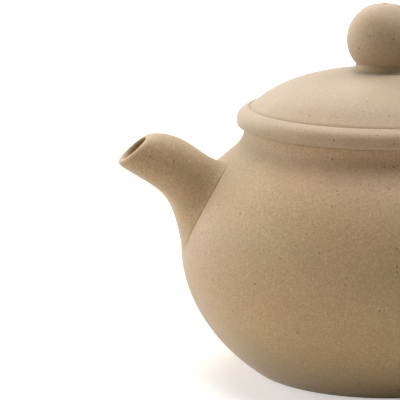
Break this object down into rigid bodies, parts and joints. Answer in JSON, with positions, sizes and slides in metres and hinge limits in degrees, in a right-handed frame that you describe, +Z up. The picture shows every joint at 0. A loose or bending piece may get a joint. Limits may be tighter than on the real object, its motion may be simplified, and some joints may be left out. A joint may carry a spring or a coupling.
{
  "type": "yixing teapot",
  "caption": "Small round unglazed clay teapot with a lift-off domed lid, ball knob, short curved spout and ear-shaped handle",
  "frame": {"origin": "centre of the flat base, on the table plane", "axes": "+Z up along the turning axis of the body, -X towards the spout, +X towards the handle"},
  "size_m": [0.1416, 0.1, 0.0912],
  "materials": {
    "body_clay": "unglazed fine clay, matte with a slight burnish",
    "lid_clay": "unglazed fine clay, matte with a slight burnish"
  },
  "bodies": {
    "pot": {"body_wall": "body_clay", "shoulder_ring": "body_clay", "base_disc": "body_clay", "neck_ring": "body_clay", "spout": "body_clay", "strainer": "body_clay", "handle": "body_clay"},
    "lid": {"lid_dome": "lid_clay", "lid_rim": "lid_clay", "lid_flange": "lid_clay", "knob_collar": "lid_clay", "knob": "lid_clay"}
  },
  "joints": [
    {"name": "lid_lift", "type": "slide", "parent": "pot", "child": "lid", "axis": [0, 0, 1], "range_m": [0, 0.04]}
  ]
}
